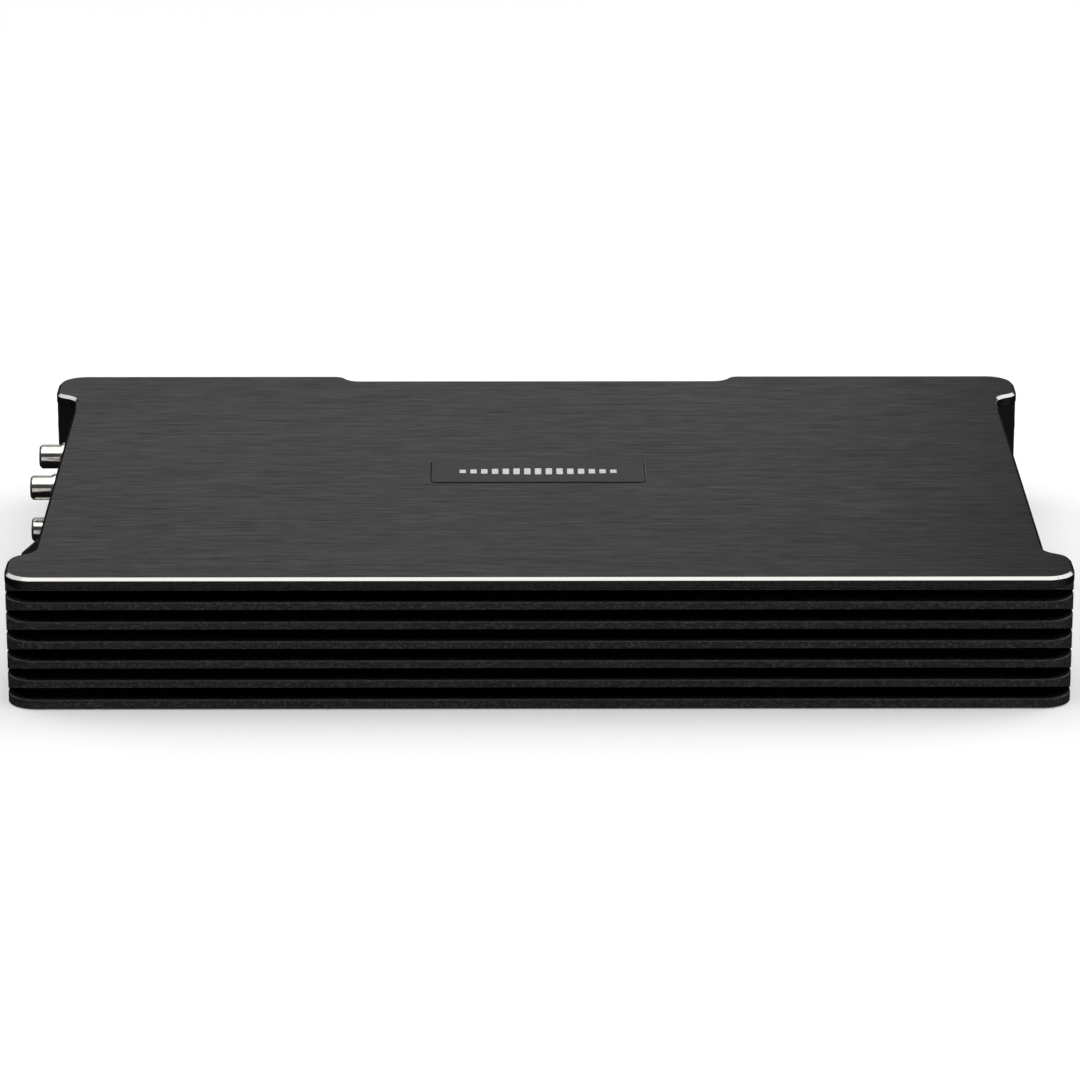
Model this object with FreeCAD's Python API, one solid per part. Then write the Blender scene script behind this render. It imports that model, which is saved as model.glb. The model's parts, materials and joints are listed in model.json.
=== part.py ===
import FreeCAD, Part
import math
import os
from FreeCAD import Vector

# Car amplifier in millimetres.  The origin is the centre of the base, +Z is up.
# +X is the power end, -X the signal input end, +Y the front, where the cover has its long shallow bay.

# ---- Overall size ----
LENGTH = 334.6            # cover, over the end lobes
WIDTH = 221.2             # cover and fin tips
HEIGHT = 43.2             # base to the cover's top face
COVER_T = 3.6             # cover plate
BASE_T = 2.0              # bottom plate
COVER_CHAMFER = 1.0
BODY_TOP = HEIGHT - COVER_T
BODY_INSET = 0.1          # the chassis stands this far inside the cover's lobes
CAP_INSET = 0.2           # and the end caps and bottom plate this far

# ---- Plan outline ----
CORNER_R = 9.3
END_BAY_DEPTH = 7.7       # recess between the two lobes of each end
LOBE_Y = 92.5             # the lobe's flat starts here
BAY_Y = 80.3              # the recess's flat ends here
FRONT_BAY_DEPTH = 5.7     # shallow bay along the front
FRONT_BAY_X = 62.0        # half length of the bay's flat
FRONT_WING_X = 71.0       # the bay's curve ends here

# ---- Chassis extrusion ----
FIN_COUNT = 6
FIN_PITCH = 6.44
FIRST_FIN_TOP = 3.0
FIN_FACE = 2.4            # upright face of each fin but the lowest
FIN_DEPTH = 11.3
FIN_ARRIS = 0.25          # chamfer on the upper edge of each fin and of the body
CAP_SPLIT_Y = 97.9        # end caps and bottom plate fit between the walls here
WALL_Y = 90.0             # inner face of the side walls
WEB_UNDER = 36.0          # underside of the web that carries the cover
LEDGE = (12.2, 17.2)      # ledge that cools the transistors, low and high
LEDGE_Y = 70.0

# ---- End caps ----
CAP_X = 150.0             # inner face of the cap's lobes
PANEL_RECESS = 0.4        # panel behind the edge of the cover
PANEL_OUT = LENGTH / 2 - END_BAY_DEPTH - PANEL_RECESS
PANEL_T = 4.0
PANEL_IN = PANEL_OUT - PANEL_T
PANEL_HALF_Y = 77.5
FIT_GAP = 0.1             # around pieces that drop into one another
CUTOUT_GAP = 0.2          # around connectors in the panels

# ---- Screws ----
THREAD_R = 1.5            # M3
TAPPED_R = 1.55
CLEAR_R = 1.7
FLAT_HEAD_R = 2.9
FLAT_HEAD_T = 1.4
PAN_HEAD_R = 2.8
PAN_HEAD_T = 2.0
PAN_HEAD_EDGE = 0.5
KEY_FLATS = 2.0
KEY_DEPTH = 1.0
CAP_SCREW_Y = 94.3
CAP_SCREW_Z = (9.5, 31.0)
CAP_SCREW_END = 140.0
BASE_SCREW_Y = 93.0
BASE_SCREW_X = (-120.0, -40.0, 40.0, 120.0)
BASE_SCREW_TIP = 7.5
CAP_BASE_SCREW = (162.6, 88.0)
COVER_SCREW_XY = [(x, y) for x in (-120.0, -40.0, 40.0, 120.0) for y in (-55.0, 55.0)]
COVER_SCREW_TIP = 42.0

# ---- Mounting ears ----
EAR_X = 163.0
EAR_Y = 73.0
EAR_HOLE_R = 2.25
EAR_HALF_WIDTH = 6.5
EAR_TIP = 166.8
EAR_CORNER_R = 3.0

# ---- Badge on the cover ----
BADGE_SIZE = (70.5, 24.3)
BADGE_AT = (0.0, -0.7)
BADGE_R = 2.0
BADGE_GAP = 0.25
BADGE_T = 1.3
BADGE_PROUD = 0.3
BAR_COUNT = 15
BAR_PITCH = 3.56
BAR_Y = -2.1
BAR_WIDTH = 2.1
BAR_HEIGHTS = (3.2, 6.6)  # at the ends and in the middle
BAR_T = 0.12
BAR_CORNER_R = 0.4

# ---- Circuit board ----
BOARD = (5.4, 7.0)        # low and high
BOARD_X = 149.4
BOARD_Y = 89.0
TONGUE_X = 153.4          # the board's ends reach between the cap's lobes
TONGUE_Y = 76.5
SPACER_XY = [(x, y) for x in (-136.0, 0.0, 136.0) for y in (-80.0, 80.0)]
SPACER_R = 3.2

# ---- Phono jacks, at the input end ----
JACK_TIP = 170.8
JACK_R = 4.15
JACK_LIP = 0.8
JACK_FLARE = (163.7, 162.7)
JACK_COLLAR_R = 4.8
JACK_NECK_R = 4.4
JACK_ROOT = 150.0
JACK_SOCKET_R = 3.2
JACK_PIN_R = (1.7, 2.1)   # inside and outside of the centre contact
UPPER_ROW = 29.0
LOWER_ROW = 14.1
JACK_YZ = [(61.4, UPPER_ROW), (26.4, UPPER_ROW), (26.4, LOWER_ROW)]
JACK_BLOCK = (16.0, 35.4)  # width and top of the plastic block
JACK_BLOCK_BACK = 138.0

# ---- Controls, at the input end ----
KNOB_YZ = {"level": (44.0, 13.0), "crossover": (8.0, 27.0)}
KNOB_R = 5.2
KNOB_GAP = 0.4            # round the knob in its panel hole
KNOB_EDGE = 0.6
KNOB_TIP = 162.4
KNOB_ROOT = 155.4
SHAFT_R = 3.0
SHAFT_END = 149.0
SHAFT_PLAY = 0.05
KNURLS = 20
KNURL_R = 0.45
KNURL_AT = 0.15           # centre of each knurl outside the rim
KNOB_SLOT = (0.5, 0.8)    # half width and depth of the index slot
POT_HALF = (5.0, 5.4)     # along Y and Z
POT_BACK = 147.5
POT_BORE_END = 148.7
SWITCH_YZ = (8.0, 12.5)
SWITCH_LEVER = (1.2, 1.3)  # half sizes along Y and Z
SWITCH_TRAVEL = 2.0
SWITCH_TIP = 162.0
SWITCH_ROOT = 153.0
SWITCH_PLAY = 0.3
SWITCH_BODY = (149.7, 7.0, 16.5)  # back, half width and top
SWITCH_RIBS = (0.5, 0.15, 0.4)    # offset, half width and depth of the grip grooves
LIGHT_YZ = (44.0, UPPER_ROW)
LIGHT_R = 1.5
LIGHT_DOME = [(160.1, 0.0), (159.9, 0.9), (159.4, LIGHT_R)]

# ---- Harness socket, at the input end ----
SOCKET_TIP = 171.0
SOCKET_Y = (-40.0, -10.0)
SOCKET_Z = (7.0, 25.1)
SOCKET_NOSE_Z = 18.1      # the mouth slants back above this
SOCKET_SLANT_X = 8.0
SOCKET_WALL = 1.5
SOCKET_FLOOR_X = 157.0
SOCKET_PIN_TIP = 163.0
SOCKET_PIN_HALF = 0.5
SOCKET_PIN_PITCH = 7.0
SOCKET_NOSE_R = 1.0
SOCKET_PIN_Z = (12.5, 19.5)

# ---- Power and speaker terminals ----
TERMINAL_X = (146.0, 165.5)
TERMINAL_Z = (7.0, 23.0)
CLAMP_X = (150.0, 164.2)
CLAMP_FLOOR = (8.2, 9.4)
CLAMP_BRIDGE = (17.0, 19.0)
CLAMP_BACK_T = 1.2
WINDOW_TOP = 15.6
PLATE_X = (152.0, 163.9)
PLATE_Z = (15.6, 16.7)
PLATE_SIDE_GAP = 0.6
CLAMP_SCREW_X = 161.8
CLAMP_SCREW_R = 2.0
CLAMP_SCREW_TOP = 22.9
CLAMP_SCREW_POINT = 0.4   # chamfer at the tip
CLAMP_SCREW_EDGE = 0.3    # chamfer at the top
CLAMP_KEY_DEPTH = 2.5
CLAMP_SCREW_PLAY = 0.05
CLAMP_TIP_GAP = 0.05     # between the screw and the plate that it pushes
DRIVER_HOLE_R = 2.35
POWER_BLOCK_Y = (-66.0, -24.0)
SPEAKER_BLOCK_Y = (20.0, 66.0)
POWER_TERMINALS = {"supply": (-57.5, 11.0), "ground": (-43.0, 11.0), "remote": (-30.4, 6.6)}
SPEAKER_TERMINALS = {f"speaker_{n + 1}": (26.5 + 11.0 * n, 8.0) for n in range(4)}
TERMINALS = {**POWER_TERMINALS, **SPEAKER_TERMINALS}

# ---- Blade fuses ----
FUSE_Y = {"fuse_1": -8.0, "fuse_2": 8.0}
FUSE_Z = (8.1, 27.2)
FUSE_X = (152.4, 163.6)
FUSE_HALF_T = 2.55
FUSE_GAP = 0.35
BLADE_TIP = 145.2
BLADE_HALF_T = 0.35
BLADE_WIDTH = 5.2
BLADE_INSET = 1.4         # from the ends of the body
BLADE_SEAT = 3.0          # length held in the body
BLADE_BEVEL = 1.0
WAIST = (1.2, 3.4, 3.0, 0.7)  # start and end from the outer face, inset from the ends, depth
HOLDER_X = (140.0, 160.5)
HOLDER_Y = (-14.5, 14.5)
HOLDER_Z = (7.0, 28.4)
CONTACT_X = (142.0, 151.6)
CONTACT_HALF_T = 1.6
CONTACT_MARGIN = 0.6      # beyond each side of the blade
CONTACT_BACK_T = 1.5

# ---- Inside parts ----
TRANSISTOR_X = [-110.0 + 44.0 * n for n in range(6)]
TRANSISTOR_SIZE = (16.0, 20.0)
TRANSISTOR_Y = (69.4, 89.4)
TRANSISTOR_Z = (7.1, 12.0)
TRANSISTOR_SCREW_Y = 84.0
LEAD_PITCH = 5.4
LEAD_T = 0.6
LEAD_REACH = 3.0
CORE = (13.0, 23.0, 11.0, 29.0)         # inner and outer radius, low and high
WINDING = (10.0, 26.5, 7.0, 33.0)
CORE_PLAY = 0.2
WINDING_GAP = 3.0                        # half width of the part left bare
TRANSFORMER_XY = (62.0, 0.0)
STORAGE_CAPACITORS = [(x, y, 11.0, 33.0) for x in (-62.0, -36.0, -10.0, 16.0) for y in (-52.0, 52.0)]
SUPPLY_CAPACITORS = [(122.0, y, 8.0, 31.0) for y in (-50.0, -30.0, 30.0, 50.0)]
CAN_GROOVE = (2.0, 2.6, 3.2)             # start, middle and end of the rolled groove, above the foot
CAN_GROOVE_DEPTH = 0.5
CAN_RIM = 0.6
CHOKE = (116.0, 0.0, 10.0, 5.0, 28.0)    # x, y, flange and spool radius, top
CHOKE_FLANGE_T = 2.0
PREAMP_X = (-121.6, -120.0)
PREAMP_Y = (-34.0, 54.0)
PREAMP_TOP = 33.0
CHIP_SIZE = (1.5, 9.0, 4.0)
CHIP_YZ = [(y, z) for y in (-22.0, 0.0, 22.0, 42.0) for z in (14.0, 25.0)]

AXES = {"x": Vector(1, 0, 0), "y": Vector(0, 1, 0), "z": Vector(0, 0, 1)}
ALL_ROUND = 360.0
MARGIN = 1.0              # how far cutting tools run past what they cut


# ---- Shapes ----

def box(x, y, z):
    """Box between two limits along each axis, given in either order."""
    low = [min(pair) for pair in (x, y, z)]
    size = [abs(pair[1] - pair[0]) for pair in (x, y, z)]
    return Part.makeBox(*size, Vector(*low))


def place(axis, along, cross):
    """Point at a distance along an axis, with its two other coordinates in X, Y, Z order."""
    a, b = cross
    points = {"x": Vector(along, a, b), "y": Vector(a, along, b), "z": Vector(a, b, along)}
    return points[axis]


def rod(axis, cross, radius, span):
    """Cylinder along an axis between two limits."""
    low, high = sorted(span)
    return Part.makeCylinder(radius, high - low, place(axis, low, cross), AXES[axis])


def turned(axis, cross, profile):
    """Solid of revolution from a closed profile of (along, radius) points."""
    points = [place(axis, along, (cross[0] + radius, cross[1])) for along, radius in profile]
    face = Part.Face(Part.makePolygon(points + points[:1]))
    return face.revolve(place(axis, 0, cross), AXES[axis], ALL_ROUND)


def prism(axis, outline, span):
    """Polygon of cross coordinates, extruded along an axis between two limits."""
    low, high = sorted(span)
    points = [place(axis, low, cross) for cross in outline]
    return Part.Face(Part.makePolygon(points + points[:1])).extrude(AXES[axis] * (high - low))


def hexagon(axis, cross, flats, span):
    """Hexagonal prism across flats."""
    radius = flats / math.sqrt(3)
    turns = [math.radians(60 * n) for n in range(6)]
    corners = [(cross[0] + radius * math.cos(a), cross[1] + radius * math.sin(a)) for a in turns]
    return prism(axis, corners, span)


def rounded_block(centre, size, radius, span):
    """Upright block with rounded vertical edges."""
    half = [s / 2 for s in size]
    block = box(*[(c - h, c + h) for c, h in zip(centre, half)], span)
    upright = [e for e in block.Edges if abs(e.tangentAt(e.FirstParameter).z) > 0.9]
    return block.makeFillet(radius, upright)


def at_end(end, span):
    """X limits given for the +X end, taken to the end named by its sign."""
    return tuple(end * value for value in span)


# ---- Screws ----

def flat_screw(axis, cross, face, tip):
    """Countersunk screw with a hexagonal key hole, its head flush with face."""
    way = 1 if tip > face else -1
    under = face + way * FLAT_HEAD_T
    profile = [(face, 0), (face, FLAT_HEAD_R), (under, THREAD_R), (tip, THREAD_R), (tip, 0)]
    screw = turned(axis, cross, profile)
    return screw.cut(hexagon(axis, cross, KEY_FLATS, (face, face + way * KEY_DEPTH)))


def flat_screw_hole(axis, cross, face, through):
    """Cutter for a countersunk screw's clearance hole."""
    way = 1 if through > face else -1
    wide = FLAT_HEAD_R + FIT_GAP
    under = face + way * (FLAT_HEAD_T - (CLEAR_R - THREAD_R))
    profile = [(face - way * FIT_GAP, 0), (face - way * FIT_GAP, wide), (face, wide), (under, CLEAR_R)]
    return turned(axis, cross, profile + [(through, CLEAR_R), (through, 0)])


def pan_screw(axis, cross, seat, tip):
    """Pan-head screw with a hexagonal key hole, its head's underside on seat."""
    way = 1 if tip > seat else -1
    top = seat - way * PAN_HEAD_T
    shoulder = (top + way * PAN_HEAD_EDGE, PAN_HEAD_R)
    profile = [(top, 0), (top, PAN_HEAD_R - PAN_HEAD_EDGE), shoulder, (seat, PAN_HEAD_R)]
    screw = turned(axis, cross, profile + [(seat, THREAD_R), (tip, THREAD_R), (tip, 0)])
    return screw.cut(hexagon(axis, cross, KEY_FLATS, (top, top + way * KEY_DEPTH)))


# ---- Plan outline ----

def tangent_arc(start, end, heading):
    """Arc from start to end that leaves start along the unit vector heading."""
    chord = end - start
    toward = Vector(chord).normalize()
    aim = (heading + toward).normalize()
    middle = start + aim * (chord.Length / 2 / aim.dot(toward))
    return Part.Arc(start, middle, end).toShape()


def s_curve(start, end, heading):
    """Two equal arcs that leave start and reach end along the same heading."""
    middle = (start + end) * 0.5
    return [tangent_arc(start, middle, heading), tangent_arc(end, middle, heading * -1)]


def plan_face(lobe_x, bay_x, side_y, z):
    """Plan of the cover or the body: rounded corners, end recesses and the front bay."""
    east, north, west = AXES["x"], AXES["y"], AXES["x"] * -1
    corner = side_y - CORNER_R
    bay_y = side_y - FRONT_BAY_DEPTH

    def at(x, y):
        return Vector(x, y, z)

    half = [Part.makeLine(at(0, -side_y), at(lobe_x - CORNER_R, -side_y))]
    half.append(tangent_arc(at(lobe_x - CORNER_R, -side_y), at(lobe_x, -corner), east))
    half.append(Part.makeLine(at(lobe_x, -corner), at(lobe_x, -LOBE_Y)))
    half += s_curve(at(lobe_x, -LOBE_Y), at(bay_x, -BAY_Y), north)
    half.append(Part.makeLine(at(bay_x, -BAY_Y), at(bay_x, BAY_Y)))
    half += s_curve(at(bay_x, BAY_Y), at(lobe_x, LOBE_Y), north)
    half.append(Part.makeLine(at(lobe_x, LOBE_Y), at(lobe_x, corner)))
    half.append(tangent_arc(at(lobe_x, corner), at(lobe_x - CORNER_R, side_y), north))
    half.append(Part.makeLine(at(lobe_x - CORNER_R, side_y), at(FRONT_WING_X, side_y)))
    half += s_curve(at(FRONT_WING_X, side_y), at(FRONT_BAY_X, bay_y), west)
    half.append(Part.makeLine(at(FRONT_BAY_X, bay_y), at(0, bay_y)))
    mirrored = [edge.mirror(Vector(0, 0, 0), east) for edge in half]
    edges = Part.sortEdges(half + mirrored)[0]
    return Part.Face(Part.Wire(edges))


def plan_prism(lobe_x, bay_x, side_y, span):
    """The plan outline as a solid between two heights."""
    solid = plan_face(lobe_x, bay_x, side_y, span[0]).extrude(Vector(0, 0, span[1] - span[0]))
    return solid.removeSplitter()


def body_prism(span, inset=BODY_INSET, shrink=0.0):
    """The body's outline, inside the cover's at the ends and flush with it at the sides."""
    return plan_prism(LENGTH / 2 - inset - shrink, PANEL_OUT - shrink, WIDTH / 2 - shrink, span)


# ---- Cover and badge ----

def cover():
    """Top plate with a polished chamfer, a pocket for the badge and blind holes for its screws."""
    plate = plan_prism(LENGTH / 2, LENGTH / 2 - END_BAY_DEPTH, WIDTH / 2, (BODY_TOP, HEIGHT))
    rim = [e for e in plate.Edges if all(abs(v.Z - HEIGHT) < 0.01 for v in e.Vertexes)]
    plate = plate.makeChamfer(COVER_CHAMFER, rim)
    pocket = [size + 2 * BADGE_GAP for size in BADGE_SIZE]
    plate = plate.cut(rounded_block(BADGE_AT, pocket, BADGE_R + BADGE_GAP, (badge_seat(), HEIGHT + MARGIN)))
    for spot in COVER_SCREW_XY:
        plate = plate.cut(rod("z", spot, TAPPED_R, (BODY_TOP, COVER_SCREW_TIP + FIT_GAP)))
    return plate


def badge_seat():
    """Height of the badge pocket's floor."""
    return HEIGHT + BADGE_PROUD - BADGE_T


def badge_plate():
    """Rounded plate that stands a little proud of the cover."""
    return rounded_block(BADGE_AT, BADGE_SIZE, BADGE_R, (badge_seat(), HEIGHT + BADGE_PROUD))


def badge_bars():
    """Row of plain upright bars, like a level meter, tallest in the middle."""
    bars = []
    low, high = BAR_HEIGHTS
    foot = HEIGHT + BADGE_PROUD
    for n in range(BAR_COUNT):
        offset = n - (BAR_COUNT - 1) / 2
        swing = math.cos(math.pi * offset / BAR_COUNT)
        centre = (BADGE_AT[0] + BAR_PITCH * offset, BAR_Y)
        size = (BAR_WIDTH, low + (high - low) * swing)
        bars.append(rounded_block(centre, size, BAR_CORNER_R, (foot, foot + BAR_T)))
    return bars


# ---- Chassis ----

def fin_side():
    """Profile of one finned side from the base up, as (inset from the fin tips, height)."""
    points = [(0.0, 0.0)]
    for n in range(FIN_COUNT):
        top = FIRST_FIN_TOP + FIN_PITCH * n
        points += [(0.0, top), (FIN_DEPTH, top)]
        points.append((0.0, top + FIN_PITCH - FIN_FACE))
    return points + [(0.0, BODY_TOP)]


def chassis_profile():
    """Section of the extrusion: finned walls, transistor ledges and the web under the cover."""
    inner = [(WALL_Y, WEB_UNDER), (WALL_Y, LEDGE[1]), (LEDGE_Y, LEDGE[1]), (LEDGE_Y, LEDGE[0])]
    inner += [(WALL_Y, LEDGE[0]), (WALL_Y, BASE_T), (CAP_SPLIT_Y, BASE_T), (CAP_SPLIT_Y, 0.0)]
    outer = [(WIDTH / 2 - inset, z) for inset, z in fin_side()]
    front = inner + outer
    back = [(-y, z) for y, z in reversed(front)]
    return front + back


def body_wire(z, shrink):
    """Wire of the body's outline at a height."""
    lobe_x = LENGTH / 2 - BODY_INSET - shrink
    return plan_face(lobe_x, PANEL_OUT - shrink, WIDTH / 2 - shrink, z).OuterWire


def arris_ring(top):
    """Cutter for the small chamfer round the upper edge of what ends at this height."""
    low = top - FIN_ARRIS
    kept = Part.makeLoft([body_wire(low, 0.0), body_wire(top, FIN_ARRIS)], True, True)
    return body_prism((low, top), shrink=-MARGIN).cut(kept)


def chassis():
    """One-piece finned extrusion, milled to the plan outline, with bays for the two end caps."""
    length = LENGTH / 2
    metal = prism("x", chassis_profile(), (-length, length)).common(body_prism((0.0, BODY_TOP)))
    for end in (-1, 1):
        bay = at_end(end, (CAP_X, length))
        metal = metal.cut(box(bay, (-CAP_SPLIT_Y, CAP_SPLIT_Y), (-MARGIN, BODY_TOP + MARGIN)))
        for y in (-CAP_SCREW_Y, CAP_SCREW_Y):
            for z in CAP_SCREW_Z:
                hole = rod("x", (y, z), TAPPED_R, at_end(end, (CAP_SCREW_END - MARGIN, length)))
                metal = metal.cut(hole)
    for spot in COVER_SCREW_XY:
        metal = metal.cut(rod("z", spot, CLEAR_R, (WEB_UNDER, BODY_TOP)))
    for spot in base_wall_spots():
        metal = metal.cut(rod("z", spot, TAPPED_R, (BASE_T, BASE_SCREW_TIP + FIT_GAP)))
    for spot in SPACER_XY + transistor_screw_spots():
        metal = metal.cut(rod("z", spot, TAPPED_R, LEDGE))
    for top in [FIRST_FIN_TOP + FIN_PITCH * n for n in range(FIN_COUNT)] + [BODY_TOP]:
        metal = metal.cut(arris_ring(top))
    return metal


def base_wall_spots():
    """Bottom plate screws that go up into the side walls."""
    return [(x, y) for x in BASE_SCREW_X for y in (-BASE_SCREW_Y, BASE_SCREW_Y)]


def base_cap_spots():
    """Bottom plate screws that go up into the end caps' lobes."""
    x, y = CAP_BASE_SCREW
    return [(a, b) for a in (-x, x) for b in (-y, y)]


# ---- End caps and bottom plate ----

def end_cap(end, cutouts):
    """Machined cap with an S-curved face and a thinner panel between its lobes."""
    width = (-CAP_SPLIT_Y + FIT_GAP, CAP_SPLIT_Y - FIT_GAP)
    block = box(at_end(end, (CAP_X, LENGTH / 2)), width, (BASE_T, BODY_TOP))
    cap = block.common(body_prism((BASE_T, BODY_TOP), CAP_INSET))
    inside = box(at_end(end, (CAP_X - MARGIN, PANEL_IN)), (-PANEL_HALF_Y, PANEL_HALF_Y), (BASE_T, WEB_UNDER))
    cap = cap.cut(inside)
    face = end * (LENGTH / 2 - CAP_INSET)
    for y in (-CAP_SCREW_Y, CAP_SCREW_Y):
        for z in CAP_SCREW_Z:
            cap = cap.cut(flat_screw_hole("x", (y, z), face, end * (CAP_X - MARGIN)))
    for x, y in base_cap_spots():
        if x * end > 0:
            cap = cap.cut(rod("z", (x, y), TAPPED_R, (BASE_T, BASE_SCREW_TIP + FIT_GAP)))
    for cutout in cutouts:
        cap = cap.cut(cutout)
    return cap


def panel_window(end, y, z):
    """Rectangular cutter through a panel, a little larger than what it takes."""
    sides = (y[0] - CUTOUT_GAP, y[1] + CUTOUT_GAP)
    heights = (max(z[0] - CUTOUT_GAP, BASE_T), z[1] + CUTOUT_GAP)
    return box(at_end(end, (PANEL_IN - MARGIN, PANEL_OUT + MARGIN)), sides, heights)


def panel_hole(end, cross, radius):
    """Round cutter through a panel."""
    return rod("x", cross, radius, at_end(end, (PANEL_IN - MARGIN, PANEL_OUT + MARGIN)))


def input_cutouts():
    """Openings of the input panel."""
    cutouts = [panel_hole(-1, cross, JACK_NECK_R + FIT_GAP) for cross in JACK_YZ]
    cutouts += [panel_hole(-1, cross, KNOB_R + KNOB_GAP) for cross in KNOB_YZ.values()]
    cutouts.append(panel_hole(-1, LIGHT_YZ, LIGHT_R + FIT_GAP))
    y, z = SWITCH_YZ
    reach = SWITCH_LEVER[0] + SWITCH_TRAVEL + FIT_GAP
    rise = SWITCH_LEVER[1] + FIT_GAP
    cutouts.append(panel_window(-1, (y - reach, y + reach), (z - rise, z + rise)))
    cutouts.append(panel_window(-1, SOCKET_Y, SOCKET_Z))
    return cutouts


def power_cutouts():
    """Openings of the power panel."""
    cutouts = [panel_window(1, y, TERMINAL_Z) for y in (POWER_BLOCK_Y, SPEAKER_BLOCK_Y)]
    return cutouts + [panel_window(1, HOLDER_Y, HOLDER_Z)]


def bottom_plate():
    """Base plate between the side walls, with a mounting ear in each corner of the end recesses."""
    width = (-CAP_SPLIT_Y + FIT_GAP, CAP_SPLIT_Y - FIT_GAP)
    span = (-LENGTH / 2, LENGTH / 2)
    plate = body_prism((0.0, BASE_T), CAP_INSET).common(box(span, width, (0.0, BASE_T)))
    for end in (-1, 1):
        for y in (-EAR_Y, EAR_Y):
            centre = (end * (EAR_TIP + CAP_X) / 2, y)
            size = (EAR_TIP - CAP_X, 2 * EAR_HALF_WIDTH)
            plate = plate.fuse(rounded_block(centre, size, EAR_CORNER_R, (0.0, BASE_T)))
            plate = plate.cut(rod("z", (end * EAR_X, y), EAR_HOLE_R, (-MARGIN, BASE_T + MARGIN)))
    for spot in base_wall_spots() + base_cap_spots():
        plate = plate.cut(flat_screw_hole("z", spot, 0.0, BASE_T + MARGIN))
    return plate.removeSplitter()


# ---- Circuit board ----

def transistor_screw_spots():
    """Screws of the transistors on both ledges."""
    return [(x, y) for x in TRANSISTOR_X for y in (-TRANSISTOR_SCREW_Y, TRANSISTOR_SCREW_Y)]


def main_board():
    """Board with a tongue at each end and clearance holes for every screw from below."""
    board = box((-BOARD_X, BOARD_X), (-BOARD_Y, BOARD_Y), BOARD)
    board = board.fuse(box((-TONGUE_X, TONGUE_X), (-TONGUE_Y, TONGUE_Y), BOARD)).removeSplitter()
    for spot in SPACER_XY + transistor_screw_spots():
        board = board.cut(rod("z", spot, CLEAR_R, BOARD))
    return board


def board_spacer(spot):
    """Round spacer between the board and a ledge."""
    span = (BOARD[1], LEDGE[0])
    return rod("z", spot, SPACER_R, span).cut(rod("z", spot, CLEAR_R, span))


def transistor(x, side):
    """Flat power transistor with a screw hole and three leads bent down to the board."""
    low, high = TRANSISTOR_Y
    half = TRANSISTOR_SIZE[0] / 2
    body = box((x - half, x + half), (side * low, side * high), TRANSISTOR_Z)
    body = body.cut(rod("z", (x, side * TRANSISTOR_SCREW_Y), CLEAR_R, TRANSISTOR_Z))
    lead_z = sum(TRANSISTOR_Z) / 2
    for n in (-1, 0, 1):
        lead = (x + n * LEAD_PITCH - LEAD_T, x + n * LEAD_PITCH + LEAD_T)
        foot = low - LEAD_REACH
        body = body.fuse(box(lead, (side * foot, side * low), (lead_z, lead_z + LEAD_T)))
        body = body.fuse(box(lead, (side * foot, side * (foot + LEAD_T)), (BOARD[1], lead_z + LEAD_T)))
    return body.removeSplitter()


def transistor_pad(x, side):
    """Thermal pad between a transistor and its ledge."""
    half = TRANSISTOR_SIZE[0] / 2
    pad = box((x - half, x + half), [side * y for y in TRANSISTOR_Y], (TRANSISTOR_Z[1], LEDGE[0]))
    return pad.cut(rod("z", (x, side * TRANSISTOR_SCREW_Y), CLEAR_R, (TRANSISTOR_Z[1], LEDGE[0])))


def capacitor(x, y, radius, top):
    """Upright can with a rolled groove near its foot and a rounded rim."""
    foot = BOARD[1]
    start, middle, end = [foot + height for height in CAN_GROOVE]
    profile = [(foot, 0), (foot, radius), (start, radius), (middle, radius - CAN_GROOVE_DEPTH)]
    profile += [(end, radius), (top - CAN_RIM, radius), (top, radius - CAN_RIM), (top, 0)]
    return turned("z", (x, y), profile)


def transformer():
    """Ring core and the winding round it, which leaves the core bare at one side."""
    inner, outer, low, high = CORE
    profile = [(low, inner), (low, outer), (high, outer), (high, inner)]
    core = turned("z", TRANSFORMER_XY, profile)
    wind_in, wind_out, foot, top = WINDING
    coil = turned("z", TRANSFORMER_XY, [(foot, wind_in), (foot, wind_out), (top, wind_out), (top, wind_in)])
    room = turned("z", TRANSFORMER_XY, [
        (low - CORE_PLAY, inner - CORE_PLAY), (low - CORE_PLAY, outer + CORE_PLAY),
        (high + CORE_PLAY, outer + CORE_PLAY), (high + CORE_PLAY, inner - CORE_PLAY)])
    x, y = TRANSFORMER_XY
    gap = box((x, x + wind_out + MARGIN), (y - WINDING_GAP, y + WINDING_GAP), (foot - MARGIN, top + MARGIN))
    return core, coil.cut(room).cut(gap)


def choke():
    """Drum-shaped supply choke."""
    x, y, flange, spool, top = CHOKE
    foot = BOARD[1]
    waist = (foot + CHOKE_FLANGE_T, top - CHOKE_FLANGE_T)
    profile = [(foot, 0), (foot, flange), (waist[0], flange), (waist[0], spool)]
    profile += [(waist[1], spool), (waist[1], flange), (top, flange), (top, 0)]
    return turned("z", (x, y), profile)


def preamp_board():
    """Upright card behind the input connectors."""
    return box(PREAMP_X, PREAMP_Y, (BOARD[1], PREAMP_TOP))


def preamp_chips():
    """Small packages on the card's inward face."""
    face = PREAMP_X[1]
    depth, width, height = CHIP_SIZE
    return [
        box((face, face + depth), (y - width / 2, y + width / 2), (z - height / 2, z + height / 2))
        for y, z in CHIP_YZ
    ]


# ---- Input end ----

def jack_shell(cross):
    """Chromed phono jack barrel: chamfered lip, flared collar against the panel, neck behind it."""
    flare_out, flare_in = JACK_FLARE
    profile = [
        (-JACK_TIP, JACK_SOCKET_R), (-JACK_TIP, JACK_R - JACK_LIP), (-JACK_TIP + JACK_LIP, JACK_R),
        (-flare_out, JACK_R), (-flare_in, JACK_COLLAR_R), (-PANEL_OUT, JACK_COLLAR_R),
        (-PANEL_OUT, JACK_NECK_R), (-JACK_ROOT, JACK_NECK_R), (-JACK_ROOT, JACK_SOCKET_R)]
    return turned("x", cross, profile)


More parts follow.
